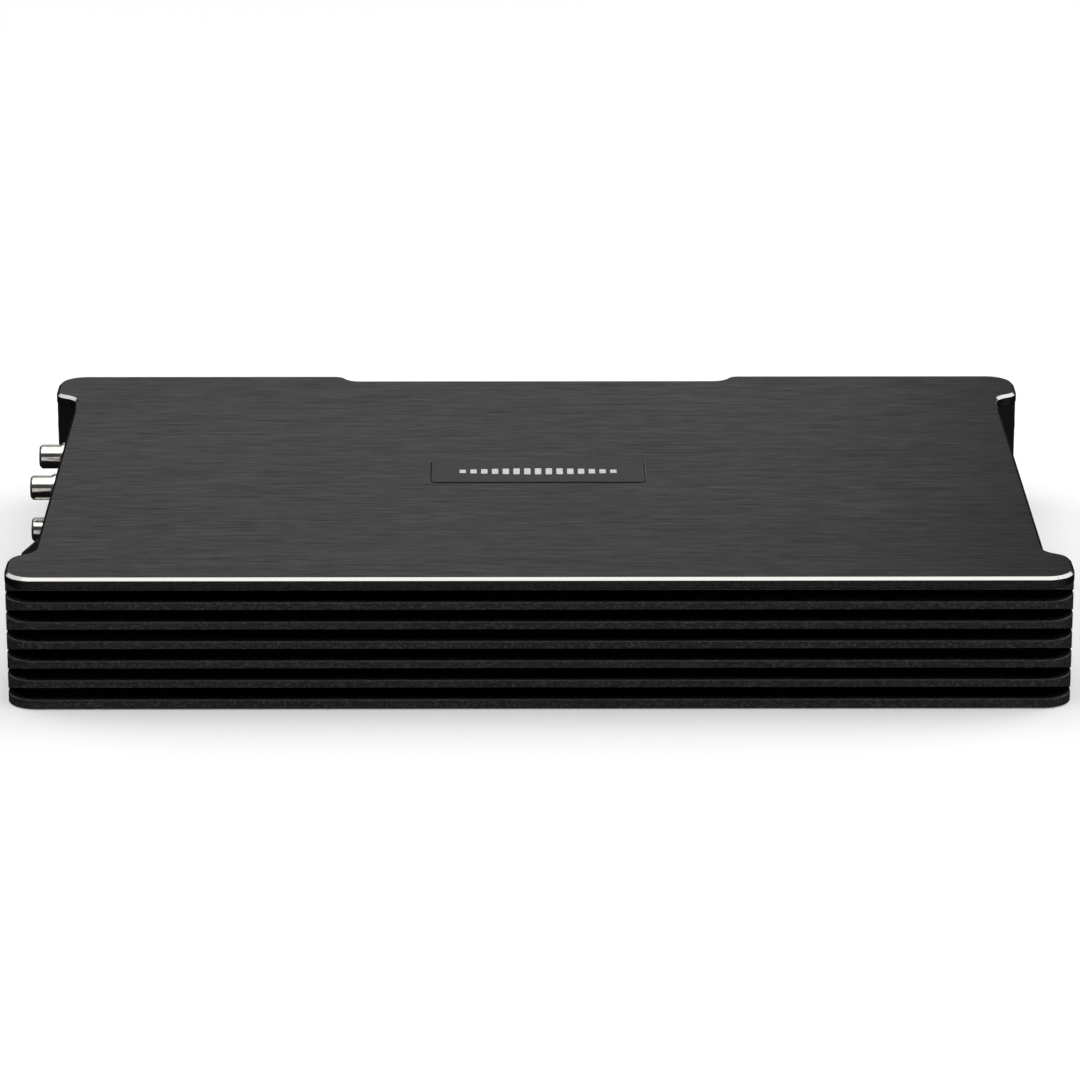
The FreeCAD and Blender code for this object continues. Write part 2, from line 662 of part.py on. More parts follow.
def jack_insulator(cross):
    """Plastic ring inside the barrel, set back from the lip."""
    ring = rod("x", cross, JACK_SOCKET_R, (-JACK_TIP + JACK_LIP, -JACK_ROOT))
    return ring.cut(rod("x", cross, JACK_PIN_R[1], (-JACK_TIP, -JACK_ROOT)))


def jack_contact(cross):
    """Tubular centre contact."""
    span = (-JACK_TIP + 2 * JACK_LIP, -JACK_ROOT)
    return rod("x", cross, JACK_PIN_R[1], span).cut(rod("x", cross, JACK_PIN_R[0], span))


def jack_block(y):
    """Plastic block behind the panel that holds the jacks of one column."""
    half = JACK_BLOCK[0] / 2
    block = box((-PANEL_IN, -JACK_BLOCK_BACK), (y - half, y + half), (BOARD[1], JACK_BLOCK[1]))
    for cross in JACK_YZ:
        if cross[0] == y:
            block = block.cut(rod("x", cross, JACK_NECK_R + SHAFT_PLAY, (-PANEL_OUT, -JACK_ROOT)))
    return block


def control_pot(cross):
    """Potentiometer body with a bore for its shaft."""
    y, z = cross
    half_y, half_z = POT_HALF
    body = box((-PANEL_IN, -POT_BACK), (y - half_y, y + half_y), (z - half_z, z + half_z))
    return body.cut(rod("x", cross, SHAFT_R + SHAFT_PLAY, (-PANEL_OUT, -POT_BORE_END)))


def control_knob(cross):
    """Knurled knob on its shaft, with an index slot across its face."""
    y, z = cross
    rim = KNOB_TIP - KNOB_EDGE
    profile = [(-KNOB_TIP, 0), (-KNOB_TIP, KNOB_R - KNOB_EDGE), (-rim, KNOB_R), (-KNOB_ROOT, KNOB_R)]
    knob = turned("x", cross, profile + [(-KNOB_ROOT, SHAFT_R), (-SHAFT_END, SHAFT_R), (-SHAFT_END, 0)])
    for n in range(KNURLS):
        angle = 2 * math.pi * n / KNURLS
        out = KNOB_R + KNURL_AT
        groove = (y + out * math.cos(angle), z + out * math.sin(angle))
        knob = knob.cut(rod("x", groove, KNURL_R, (-KNOB_TIP, -KNOB_ROOT)))
    half, depth = KNOB_SLOT
    slot = box((-KNOB_TIP, -KNOB_TIP + depth), (y - half, y + half), (z, z + KNOB_R + MARGIN))
    return knob.cut(slot)


def switch_body():
    """Slide switch body with a slot for its lever."""
    y, z = SWITCH_YZ
    back, half, top = SWITCH_BODY
    reach = SWITCH_LEVER[0] + SWITCH_TRAVEL + SWITCH_PLAY
    rise = SWITCH_LEVER[1] + SWITCH_PLAY
    slot_end = SWITCH_ROOT - SWITCH_PLAY
    body = box((-PANEL_IN, -back), (y - half, y + half), (BOARD[1], top))
    return body.cut(box((-PANEL_IN, -slot_end), (y - reach, y + reach), (z - rise, z + rise)))


def switch_lever():
    """Lever of the slide switch, with two grip grooves cut in its tip."""
    y, z = SWITCH_YZ
    half_y, half_z = SWITCH_LEVER
    offset, half, depth = SWITCH_RIBS
    lever = box((-SWITCH_TIP, -SWITCH_ROOT), (y - half_y, y + half_y), (z - half_z, z + half_z))
    grooved = (-SWITCH_TIP, -SWITCH_TIP + depth)
    for at in (y - offset, y + offset):
        lever = lever.cut(box(grooved, (at - half, at + half), (z - half_z, z + half_z)))
    return lever


def status_light():
    """Light pipe with a domed tip."""
    dome = [(-x, radius) for x, radius in LIGHT_DOME]
    return turned("x", LIGHT_YZ, dome + [(-JACK_ROOT, LIGHT_R), (-JACK_ROOT, 0)])


def harness_socket():
    """Shrouded socket whose mouth slants back at the top."""
    low, high = SOCKET_Z
    profile = [(-SOCKET_TIP, low), (-JACK_ROOT, low), (-JACK_ROOT, high)]
    profile += [(-SOCKET_TIP + SOCKET_SLANT_X, high), (-SOCKET_TIP, SOCKET_NOSE_Z)]
    shroud = prism("y", profile, SOCKET_Y)
    nose = [e for e in shroud.Edges
            if all(abs(v.X + SOCKET_TIP) < 0.01 and abs(v.Z - SOCKET_NOSE_Z) < 0.01 for v in e.Vertexes)]
    shroud = shroud.makeFillet(SOCKET_NOSE_R, nose)
    inside = (SOCKET_Y[0] + SOCKET_WALL, SOCKET_Y[1] - SOCKET_WALL)
    mouth = (-SOCKET_TIP - MARGIN, -SOCKET_FLOOR_X)
    shroud = shroud.cut(box(mouth, inside, (low + SOCKET_WALL, high - SOCKET_WALL)))
    for cross in socket_pin_spots():
        shroud = shroud.cut(square_pin(cross, -SOCKET_FLOOR_X, -JACK_ROOT))
    return shroud


def socket_pin_spots():
    """Places of the pins, in two rows."""
    middle = sum(SOCKET_Y) / 2
    return [(middle + SOCKET_PIN_PITCH * n, z) for n in (-1.5, -0.5, 0.5, 1.5) for z in SOCKET_PIN_Z]


def square_pin(cross, tip, root):
    """Square pin along X."""
    y, z = cross
    half = SOCKET_PIN_HALF
    return box((tip, root), (y - half, y + half), (z - half, z + half))


# ---- Power end ----

def terminal_clamp(y, width):
    """C-shaped brass clamp: floor, back and the threaded bridge over the wire."""
    half = width / 2
    sides = (y - half, y + half)
    clamp = box(CLAMP_X, sides, CLAMP_FLOOR)
    clamp = clamp.fuse(box((CLAMP_X[0], CLAMP_X[0] + CLAMP_BACK_T), sides, (CLAMP_FLOOR[0], CLAMP_BRIDGE[1])))
    clamp = clamp.fuse(box(CLAMP_X, sides, CLAMP_BRIDGE)).removeSplitter()
    return clamp.cut(rod("z", (CLAMP_SCREW_X, y), CLAMP_SCREW_R + CLAMP_SCREW_PLAY, CLAMP_BRIDGE))


def terminal_block(block_y, terminals):
    """Plastic block with one wire window and one driver hole for each terminal."""
    block = box(TERMINAL_X, block_y, TERMINAL_Z)
    for y, width in terminals.values():
        half = width / 2
        sides = (y - half, y + half)
        block = block.cut(box(CLAMP_X, sides, (CLAMP_FLOOR[0], CLAMP_BRIDGE[1])))
        window = (CLAMP_FLOOR[1], WINDOW_TOP)
        block = block.cut(box((CLAMP_X[1], TERMINAL_X[1]), sides, window))
        block = block.cut(rod("z", (CLAMP_SCREW_X, y), DRIVER_HOLE_R, (CLAMP_BRIDGE[1], TERMINAL_Z[1])))
    return block


def pressure_plate(y, width):
    """Plate that the screw pushes down on the wire."""
    half = width / 2 - PLATE_SIDE_GAP
    return box(PLATE_X, (y - half, y + half), PLATE_Z)


def clamp_screw(y):
    """Headless screw with a hexagonal key hole."""
    cross = (CLAMP_SCREW_X, y)
    low, top = PLATE_Z[1] + CLAMP_TIP_GAP, CLAMP_SCREW_TOP
    profile = [(low, 0), (low, CLAMP_SCREW_R - CLAMP_SCREW_POINT), (low + CLAMP_SCREW_POINT, CLAMP_SCREW_R)]
    profile += [(top - CLAMP_SCREW_EDGE, CLAMP_SCREW_R), (top, CLAMP_SCREW_R - CLAMP_SCREW_EDGE), (top, 0)]
    screw = turned("z", cross, profile)
    return screw.cut(hexagon("z", cross, KEY_FLATS, (top - CLAMP_KEY_DEPTH, top)))


def blade_spans():
    """Heights of a fuse's two blades."""
    low, high = FUSE_Z[0] + BLADE_INSET, FUSE_Z[1] - BLADE_INSET
    return [(low, low + BLADE_WIDTH), (high - BLADE_WIDTH, high)]


def fuse_body(y):
    """Coloured body of a blade fuse, waisted where fingers hold it."""
    start, end, inset, depth = WAIST
    waist_x = (FUSE_X[1] - end, FUSE_X[1] - start)
    waist_z = (FUSE_Z[0] + inset, FUSE_Z[1] - inset)
    seat = (FUSE_X[0], FUSE_X[0] + BLADE_SEAT)
    body = box(FUSE_X, (y - FUSE_HALF_T, y + FUSE_HALF_T), FUSE_Z)
    for side in (-1, 1):
        outer = y + side * FUSE_HALF_T
        body = body.cut(box(waist_x, (outer, outer - side * depth), waist_z))
    for span in blade_spans():
        body = body.cut(box(seat, (y - BLADE_HALF_T, y + BLADE_HALF_T), span))
    return body


def fuse_blades(y):
    """The two blades of a fuse, with bevelled tips, set into its body."""
    blades = []
    shoulder = BLADE_TIP + BLADE_BEVEL
    root = FUSE_X[0] + BLADE_SEAT
    for low, high in blade_spans():
        outline = [(BLADE_TIP, low + BLADE_BEVEL), (BLADE_TIP, high - BLADE_BEVEL), (shoulder, high)]
        outline += [(root, high), (root, low), (shoulder, low)]
        blades.append(prism("y", outline, (y - BLADE_HALF_T, y + BLADE_HALF_T)))
    return blades


def fuse_contacts():
    """Forked contacts that the blades slide between."""
    contacts = []
    slot = BLADE_HALF_T + FUSE_GAP
    slot_x = (CONTACT_X[0] + CONTACT_BACK_T, CONTACT_X[1])
    for y in FUSE_Y.values():
        for low, high in blade_spans():
            span = (low - CONTACT_MARGIN, high + CONTACT_MARGIN)
            contact = box(CONTACT_X, (y - CONTACT_HALF_T, y + CONTACT_HALF_T), span)
            contacts.append(contact.cut(box(slot_x, (y - slot, y + slot), span)))
    return contacts


def fuse_holder():
    """Plastic holder with a well for each fuse and pockets for the contacts."""
    holder = box(HOLDER_X, HOLDER_Y, HOLDER_Z)
    for y in FUSE_Y.values():
        well_y = (y - FUSE_HALF_T - FUSE_GAP, y + FUSE_HALF_T + FUSE_GAP)
        well_z = (FUSE_Z[0] - FUSE_GAP, FUSE_Z[1] + FUSE_GAP)
        holder = holder.cut(box((CONTACT_X[1], HOLDER_X[1]), well_y, well_z))
        for low, high in blade_spans():
            span = (low - CONTACT_MARGIN, high + CONTACT_MARGIN)
            holder = holder.cut(box(CONTACT_X, (y - CONTACT_HALF_T, y + CONTACT_HALF_T), span))
    return holder


# ---- Assembly ----

def housing_parts():
    """Cover, badge, chassis, caps and bottom plate with their screws."""
    face = LENGTH / 2 - CAP_INSET
    cap_screws = [
        flat_screw("x", (y, z), end * face, end * CAP_SCREW_END)
        for end in (-1, 1) for y in (-CAP_SCREW_Y, CAP_SCREW_Y) for z in CAP_SCREW_Z
    ]
    return {
        "top_cover": [cover()],
        "badge_plate": [badge_plate()],
        "badge_bars": badge_bars(),
        "chassis": [chassis()],
        "input_end_cap": [end_cap(-1, input_cutouts())],
        "power_end_cap": [end_cap(1, power_cutouts())],
        "bottom_plate": [bottom_plate()],
        "cover_screws": [pan_screw("z", spot, WEB_UNDER, COVER_SCREW_TIP) for spot in COVER_SCREW_XY],
        "end_cap_screws": cap_screws,
        "bottom_plate_screws": [
            flat_screw("z", spot, 0.0, BASE_SCREW_TIP) for spot in base_wall_spots() + base_cap_spots()
        ],
    }


def board_parts():
    """Main board, what stands on it and what holds it to the ledges."""
    core, winding = transformer()
    sides = [(x, side) for x in TRANSISTOR_X for side in (-1, 1)]
    screw_tip = LEDGE[1] - MARGIN
    return {
        "main_board": [main_board()],
        "board_spacers": [board_spacer(spot) for spot in SPACER_XY],
        "board_screws": [pan_screw("z", spot, BOARD[0], screw_tip) for spot in SPACER_XY],
        "output_transistors": [transistor(x, side) for x, side in sides],
        "transistor_pads": [transistor_pad(x, side) for x, side in sides],
        "transistor_screws": [pan_screw("z", spot, BOARD[0], screw_tip) for spot in transistor_screw_spots()],
        "transformer_core": [core],
        "transformer_winding": [winding],
        "storage_capacitors": [capacitor(*spot) for spot in STORAGE_CAPACITORS + SUPPLY_CAPACITORS],
        "supply_choke": [choke()],
        "preamp_board": [preamp_board()],
        "preamp_chips": preamp_chips(),
    }


def input_parts():
    """Jacks, controls and harness socket of the input end."""
    parts = {f"phono_shell_{n + 1}": [jack_shell(cross)] for n, cross in enumerate(JACK_YZ)}
    parts["phono_insulators"] = [jack_insulator(cross) for cross in JACK_YZ]
    parts["phono_contacts"] = [jack_contact(cross) for cross in JACK_YZ]
    parts["phono_blocks"] = [jack_block(y) for y in sorted({cross[0] for cross in JACK_YZ})]
    parts["control_pots"] = [control_pot(cross) for cross in KNOB_YZ.values()]
    for name, cross in KNOB_YZ.items():
        parts[f"{name}_knob"] = [control_knob(cross)]
    parts["filter_switch_body"] = [switch_body()]
    parts["filter_switch_lever"] = [switch_lever()]
    parts["status_light"] = [status_light()]
    parts["harness_socket"] = [harness_socket()]
    parts["harness_pins"] = [square_pin(c, -SOCKET_PIN_TIP, -JACK_ROOT + MARGIN) for c in socket_pin_spots()]
    return parts


def power_parts():
    """Terminals and fuses of the power end."""
    parts = {
        "power_terminal_block": [terminal_block(POWER_BLOCK_Y, POWER_TERMINALS)],
        "speaker_terminal_block": [terminal_block(SPEAKER_BLOCK_Y, SPEAKER_TERMINALS)],
        "terminal_clamps": [terminal_clamp(*spot) for spot in TERMINALS.values()],
        "fuse_holder": [fuse_holder()],
        "fuse_contacts": fuse_contacts(),
    }
    for name, (y, width) in TERMINALS.items():
        parts[f"{name}_plate"] = [pressure_plate(y, width)]
        parts[f"{name}_screw"] = [clamp_screw(y)]
    for name, y in FUSE_Y.items():
        parts[f"{name}_body"] = [fuse_body(y)]
        parts[f"{name}_blades"] = fuse_blades(y)
    return parts


def build():
    """Every node's name with its list of solids."""
    return {**housing_parts(), **board_parts(), **input_parts(), **power_parts()}


def main():
    os.makedirs("parts", exist_ok=True)
    for name, solids in build().items():
        shape = solids[0] if len(solids) == 1 else Part.makeCompound(solids)
        shape.exportStep(f"parts/{name}.step")


main()
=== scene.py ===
"""Looks, lights and camera of the car amplifier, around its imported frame. Metres, +Z up."""

import json
import math

import bmesh
import bpy
from mathutils import Matrix, Vector


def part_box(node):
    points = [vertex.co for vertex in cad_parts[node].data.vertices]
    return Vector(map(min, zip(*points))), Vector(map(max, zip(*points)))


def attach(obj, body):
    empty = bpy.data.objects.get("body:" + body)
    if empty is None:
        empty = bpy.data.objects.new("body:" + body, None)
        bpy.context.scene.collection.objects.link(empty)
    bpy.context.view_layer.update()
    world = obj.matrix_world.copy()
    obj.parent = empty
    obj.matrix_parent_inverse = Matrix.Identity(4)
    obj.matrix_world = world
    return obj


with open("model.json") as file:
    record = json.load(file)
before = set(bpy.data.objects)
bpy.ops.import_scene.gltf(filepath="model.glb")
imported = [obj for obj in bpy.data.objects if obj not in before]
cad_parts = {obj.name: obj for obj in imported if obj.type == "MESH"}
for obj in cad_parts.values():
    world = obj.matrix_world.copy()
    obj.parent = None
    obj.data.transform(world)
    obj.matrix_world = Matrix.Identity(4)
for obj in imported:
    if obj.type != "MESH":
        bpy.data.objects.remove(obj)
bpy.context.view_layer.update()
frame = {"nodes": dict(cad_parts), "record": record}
MM = 0.001
UP = Vector((0, 0, 1))
INPUT_RIGHT = Vector((0, -1, 0))    # rightwards on the input panel, seen from outside
POWER_RIGHT = Vector((0, 1, 0))     # and on the power end

# ---- Camera ----
CAMERA_AT = (-8.628 * MM, -1603.727 * MM, 551.080 * MM)
CAMERA_PITCH = 18.356     # degrees below the horizon
CAMERA_YAW = 0.332        # degrees towards +X
CAMERA_ROLL = 0.0407      # degrees
SENSOR = 36.0             # width of the sensor and focal length, in the camera's millimetres
LENS = 169.14
NEAREST = 0.05            # nothing nearer or farther than these is drawn
FARTHEST = 60.0

# ---- Surroundings ----
# A sky is a list of (sine of the height above the horizon, brightness).
CEILING = 1.30
REAR_SKY = ((-1.0, 0.005), (0.0, 0.02), (0.2, 0.08), (0.76, 0.10), (0.86, CEILING), (1.0, CEILING))
FRONT_SKY = (
    (-1.0, 0.005), (-0.42, 0.005), (-0.30, 0.60), (0.12, 0.60),
    (0.24, 0.04), (0.76, 0.05), (0.86, CEILING), (1.0, CEILING),
)
SKY_BLUE = 1.01           # blue of the sky over its red and green
HORIZON_WAY = (0.30, -0.954, 0.0)   # the front sky lies this way
HORIZON_BLEND = (0.30, 0.80)        # cosines from that way where it begins and where it is full
FLOOR_HALF = 9.0
FLOOR_Z = -0.3 * MM
FLOOR_GLOW = 0.15         # lifts the floor's tone as a bright paper sweep does
BANK_SIZE = (2.1, 1.7)    # of the two side lights

# ---- Noise and colour ----
NOISE_SPAN = (0.3, 0.7)   # nearly all of a noise lies in this span
CRISP_SPAN = (0.35, 0.65)           # a narrower span gives more contrast
MIX_A, MIX_B, MIX_RESULT = 6, 7, 2  # the colour sockets of a Mix node
WINDING_TURNS = 95.0

# ---- Printed marks and small details ----
PANEL_T = 4.0 * MM
PANEL_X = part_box("phono_blocks")[0].x - PANEL_T    # outer face of the input panel
BLOCK_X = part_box("power_terminal_block")[1].x
MARK_T = 0.06 * MM        # printed marks stand this far proud
LINE = 0.45 * MM          # width of printed lines
FINE_LINE = 0.3 * MM
KNOB_TURN = 300.0         # degrees from end to end
TICK_COUNT = 11
LONG_TICK = 1.5 * MM      # at the ends and the middle
SHORT_TICK = 0.9 * MM
TICK_GAP = 0.8 * MM       # between knob and ticks
INDEX_SLOT = 0.8 * MM     # depth of the slot in each knob's face
POINTER_T = 0.45 * MM     # the painted line stands this high on the slot's floor
POINTER_W = 0.6 * MM
POINTER_L = 0.62          # length of the line, as a share of the knob's radius
POINTER_AT = 0.58         # and how far its middle is from the knob's axis
CURVE_RISE = 2.2 * MM     # from the lever's top to the curves' zero height
FALLING_CURVE = ((-5.6, 0.4), (-4.4, 0.4), (-3.4, -0.7))    # (across, up) in millimetres
LEVEL_CURVE = ((-1.2, 0.4), (1.2, 0.4))
RISING_CURVE = tuple((-across, up) for across, up in reversed(FALLING_CURVE))
SYMBOL_Z = 19.6 * MM
SYMBOL_R = 1.5 * MM
STEM_L = 1.4 * MM         # upright stroke of the ground and power symbols
GROUND_STEM_AT = 0.9 * MM           # middle of the stroke over the middle of the symbol
POWER_STEM_AT = 1.0 * MM
GROUND_WIDTHS = (3.2 * MM, 2.2 * MM, 1.2 * MM)
GROUND_LINE = 0.36 * MM
GROUND_TOP = 0.1 * MM     # first line over the middle of the symbol
GROUND_STEP = 0.8 * MM    # and down to each next one
POWER_GAP = 70.0          # degrees left open at the top of the ring
ARC_STEPS = 24
TAB_SIZE = (1.9 * MM, 3.0 * MM)
TAB_T = 0.12 * MM
TAB_AT = 0.27             # middle of a test point from the fuse's middle, as a share of its height
TAB_EDGE = 0.05 * MM

EDGE = {                  # rounding of each node's sharp edges, in millimetres
    "chassis": 0.14, "top_cover": 0.10, "badge_plate": 0.12,
    "input_end_cap": 0.20, "power_end_cap": 0.20, "bottom_plate": 0.25,
    "phono_insulators": 0.12, "phono_contacts": 0.08, "harness_socket": 0.25, "harness_pins": 0.10,
    "level_knob": 0.10, "crossover_knob": 0.10, "filter_switch_lever": 0.10,
    "power_terminal_block": 0.30, "speaker_terminal_block": 0.30, "terminal_clamps": 0.15,
    "fuse_holder": 0.30, "fuse_1_body": 0.30, "fuse_2_body": 0.30,
}


# ---- Helpers ----

def centre_of(node):
    low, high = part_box(node)
    return (low + high) / 2


def toned(colour, share):
    """Colour made darker, or paler with a share over 1."""
    return tuple(share * c for c in colour)


class Finish:
    """A Principled material under construction, with short names for the nodes that it needs."""

    def __init__(self, name, metallic=0.0):
        self.material = bpy.data.materials.new(name)
        self.material.use_nodes = True
        self.tree = self.material.node_tree
        self.shader = self.tree.nodes["Principled BSDF"]
        self.set("Metallic", metallic)
        self.place = self.add("ShaderNodeTexCoord").outputs["Object"]

    def add(self, kind, **settings):
        node = self.tree.nodes.new(kind)
        for name, value in settings.items():
            setattr(node, name, value)
        return node

    def join(self, source, target):
        """Links a socket, or sets a plain value."""
        if isinstance(source, bpy.types.NodeSocket):
            self.tree.links.new(source, target)
        else:
            target.default_value = source

    def set(self, socket, source):
        self.join(source, self.shader.inputs[socket])

    def stretched(self, scale):
        """Object coordinates multiplied by one factor for each axis."""
        node = self.add("ShaderNodeMapping")
        self.join(self.place, node.inputs["Vector"])
        node.inputs["Scale"].default_value = scale
        return node.outputs["Vector"]

    def noise(self, per_metre, detail=2.0, rough=0.5, shift=0.0):
        """Noise from 0 to 1; per_metre is its number of features, the same or one for each axis."""
        scale = per_metre if isinstance(per_metre, tuple) else (per_metre,) * 3
        node = self.add("ShaderNodeTexNoise", noise_dimensions="4D")
        self.join(self.stretched(scale), node.inputs["Vector"])
        node.inputs["W"].default_value = shift
        node.inputs["Scale"].default_value = 1.0
        node.inputs["Detail"].default_value = detail
        node.inputs["Roughness"].default_value = rough
        return node.outputs["Fac"]

    def beads(self, per_metre):
        """Height of rounded cells."""
        node = self.add("ShaderNodeTexVoronoi", feature="SMOOTH_F1")
        self.join(self.place, node.inputs["Vector"])
        node.inputs["Scale"].default_value = per_metre
        return node.outputs["Distance"]

    def span(self, value, low, high, new_low, new_high):
        """Value mapped from one range to another, held at its ends."""
        node = self.add("ShaderNodeMapRange")
        for socket, source in zip(node.inputs[:5], (value, low, high, new_low, new_high)):
            self.join(source, socket)
        return node.outputs["Result"]

    def vary(self, noise, low, high, within=NOISE_SPAN):
        """A number that follows a noise from low to high."""
        return self.span(noise, *within, low, high)

    def mottle(self, noise, a, b, within=NOISE_SPAN):
        """A colour that follows a noise from a to b."""
        return self.mix(self.vary(noise, 0.0, 1.0, within), a, b)

    def maths(self, operation, a, b=0.0):
        node = self.add("ShaderNodeMath", operation=operation)
        self.join(a, node.inputs[0])
        self.join(b, node.inputs[1])
        return node.outputs["Value"]

    def plus(self, a, b):
        return self.maths("ADD", a, b)

    def minus(self, a, b):
        return self.maths("SUBTRACT", a, b)

    def times(self, a, b):
        return self.maths("MULTIPLY", a, b)

    def average(self, a, b):
        return self.plus(self.times(a, 0.5), self.times(b, 0.5))

    def mix(self, share, a, b):
        """Colour between a and b."""
        node = self.add("ShaderNodeMix", data_type="RGBA")
        self.join(share, node.inputs["Factor"])
        for source, socket in ((a, node.inputs[MIX_A]), (b, node.inputs[MIX_B])):
            self.join(source if isinstance(source, bpy.types.NodeSocket) else (*source, 1.0), socket)
        return node.outputs[MIX_RESULT]

    def axis(self, name, source=None):
        """One coordinate of the place, or of another vector."""
        node = self.add("ShaderNodeSeparateXYZ")
        self.join(source or self.place, node.inputs["Vector"])
        return node.outputs[name]

    def beyond(self, name, limit):
        """1 where a coordinate of the place is over a limit, 0 elsewhere."""
        return self.maths("GREATER_THAN", self.axis(name), limit)

    def upward(self):
        """1 on a level face that looks up, 0 on an upright one."""
        return self.axis("Z", self.add("ShaderNodeNewGeometry").outputs["True Normal"])

    def relief(self, height, depth, strength):
        """Bump whose full height is depth."""
        node = self.add("ShaderNodeBump")
        node.inputs["Strength"].default_value = strength
        node.inputs["Distance"].default_value = depth
        self.join(height, node.inputs["Height"])
        self.set("Normal", node.outputs["Normal"])


# ---- Materials ----

def streaks(finish, coarse, fine):
    """Brushing along X: long coarse scratches and short fine ones, from 0 to 1."""
    wide = finish.noise((45.0, coarse, coarse), detail=3.0, rough=0.7)
    narrow = finish.noise((110.0, fine, fine), detail=2.0, rough=0.6, shift=4.0)
    return finish.average(wide, narrow)


def cover_finish():
    """Dark anodising brushed along X, a polished bare chamfer and a blasted side."""
    f = Finish("cover_brushed_anodising", metallic=1.0)
    f.set("Specular Tint", (0.62, 0.62, 0.62, 1.0))
    brush = streaks(f, coarse=1050.0, fine=1900.0)
    drift = f.noise((5.0, 9.0, 5.0), shift=9.0)
    top = f.add("ShaderNodeVectorMath", operation="SCALE")
    top.inputs[0].default_value = (0.085, 0.086, 0.091)
    f.join(f.times(f.vary(brush, 0.20, 1.80), f.vary(drift, 0.94, 1.06)), top.inputs["Scale"])
    grain = f.noise(2600.0, rough=0.6, shift=2.0)
    side = f.mottle(grain, (0.018, 0.018, 0.019), (0.078, 0.078, 0.081), within=CRISP_SPAN)

    upward = f.upward()
    on_side = f.span(upward, 0.2, 0.4, 1.0, 0.0)
    over_side = f.span(upward, 0.25, 0.45, 0.0, 1.0)
    under_top = f.span(upward, 0.93, 0.99, 1.0, 0.0)
    on_edge = f.times(over_side, under_top)
    f.set("Base Color", f.mix(on_edge, f.mix(on_side, top.outputs["Vector"], side), (0.44, 0.43, 0.415)))
    matte = f.plus(f.vary(brush, 0.42, 0.30), f.times(on_side, 0.12))
    f.set("Roughness", f.minus(matte, f.times(on_edge, 0.20)))
    f.relief(f.times(brush, f.minus(1.0, on_edge)), 0.03 * MM, 0.5)
    return f.material


def blasted_black(name, tone, grain_size, painted_glint_strength, gloss, depth):
    """Bead-blasted black anodising: fine grain over broad faint patches, with painted glints, paler specks
    in the base colour that stand in for light glinting off the grain.
    """
    f = Finish(name)
    grain = f.noise(1.0 / grain_size, detail=3.0, rough=0.65)
    patch = f.noise(30.0, shift=5.0)
    dark = toned((0.0060, 0.0060, 0.0064), tone)
    pale = toned((0.0150, 0.0150, 0.0158), tone)
    base = f.mix(f.vary(patch, 0.25, 0.55), dark, pale)
    # Painted glints: where the grain is high the base colour turns paler, standing in for light glinting off
    # the blasted surface.
    speck = f.span(grain, 0.50, 0.62, 0.0, painted_glint_strength)
    f.set("Base Color", f.mix(speck, base, (0.053, 0.053, 0.056)))
    f.set("Roughness", f.vary(grain, 0.58, 0.40))
    f.set("Specular IOR Level", gloss)
    f.relief(grain, depth, 0.8)
    return f.material


def powder_coat():
    """Fine-textured black powder coat of the bottom plate."""
    f = Finish("base_powder_coat")
    speck = f.noise(900.0, detail=3.0, rough=0.6)
    f.set("Base Color", f.mottle(speck, (0.010, 0.010, 0.011), (0.020, 0.020, 0.021)))
    f.set("Roughness", f.vary(speck, 0.50, 0.66))
    f.relief(f.beads(1400.0), 0.12 * MM, 0.5)
    return f.material


def badge_black():
    """Satin badge plate, brushed more finely than the cover."""
    f = Finish("badge_satin", metallic=1.0)
    f.set("Specular Tint", (0.62, 0.62, 0.62, 1.0))
    brush = streaks(f, coarse=900.0, fine=2600.0)
    f.set("Base Color", f.mottle(brush, (0.072, 0.073, 0.077), (0.098, 0.099, 0.104)))
    f.set("Roughness", f.vary(brush, 0.40, 0.32))
    f.relief(brush, 0.015 * MM, 0.4)
    return f.material


def metal(name, colour, roughness, grain=900.0, depth=0.01 * MM):
    """Metal with a directional or even grain in its tone, gloss and relief."""
    f = Finish(name, metallic=1.0)
    lines = f.noise(grain, detail=4.0, rough=0.6)
    smudge = f.noise(160.0, detail=3.0, rough=0.55, shift=7.0)
    wear = f.average(lines, smudge)
    f.set("Base Color", f.mottle(wear, toned(colour, 0.80), colour, within=CRISP_SPAN))
    f.set("Roughness", f.vary(wear, roughness + 0.10, roughness - 0.05, within=CRISP_SPAN))
    f.relief(lines, depth, 0.5)
    return f.material


def silver_print():
    """Silver paint: metal flakes in a pale binder, so that it also shows where nothing bright reflects."""
    f = Finish("badge_silver_print", metallic=0.4)
    flake = f.noise(1800.0, rough=0.6)
    f.set("Base Color", f.mottle(flake, (0.64, 0.628, 0.608), (0.78, 0.765, 0.745)))
    f.set("Roughness", f.vary(flake, 0.34, 0.24))
    f.relief(flake, 0.005 * MM, 0.4)
    return f.material


def chrome_finish():
    """Bright nickel-chrome of the jacks, turned, with a warm cast in its darker tones."""
    f = Finish("jack_bright_chrome", metallic=1.0)
    turning = f.noise((2400.0, 60.0, 60.0), detail=3.0, rough=0.6)
    haze = f.noise(300.0, detail=3.0, rough=0.6, shift=3.0)
    f.set("Base Color", f.mottle(haze, (0.80, 0.75, 0.68), (0.92, 0.90, 0.87), within=CRISP_SPAN))
    f.set("Roughness", f.vary(turning, 0.10, 0.20))
    f.relief(turning, 0.006 * MM, 0.4)
    return f.material


def plastic(name, colour, roughness, texture=0.30 * MM, depth=0.03 * MM, lift=1.35):
    """Moulded plastic with a fine spark-eroded texture and faint flow marks."""
    f = Finish(name)
    pits = f.noise(1.0 / texture, detail=3.0, rough=0.6)
    flow = f.noise((70.0, 140.0, 70.0), shift=6.0)
    f.set("Base Color", f.mottle(f.average(pits, flow), colour, toned(colour, lift), within=CRISP_SPAN))
    f.set("Roughness", f.vary(pits, roughness + 0.08, roughness - 0.06))
    f.relief(pits, depth, 0.5)
    return f.material


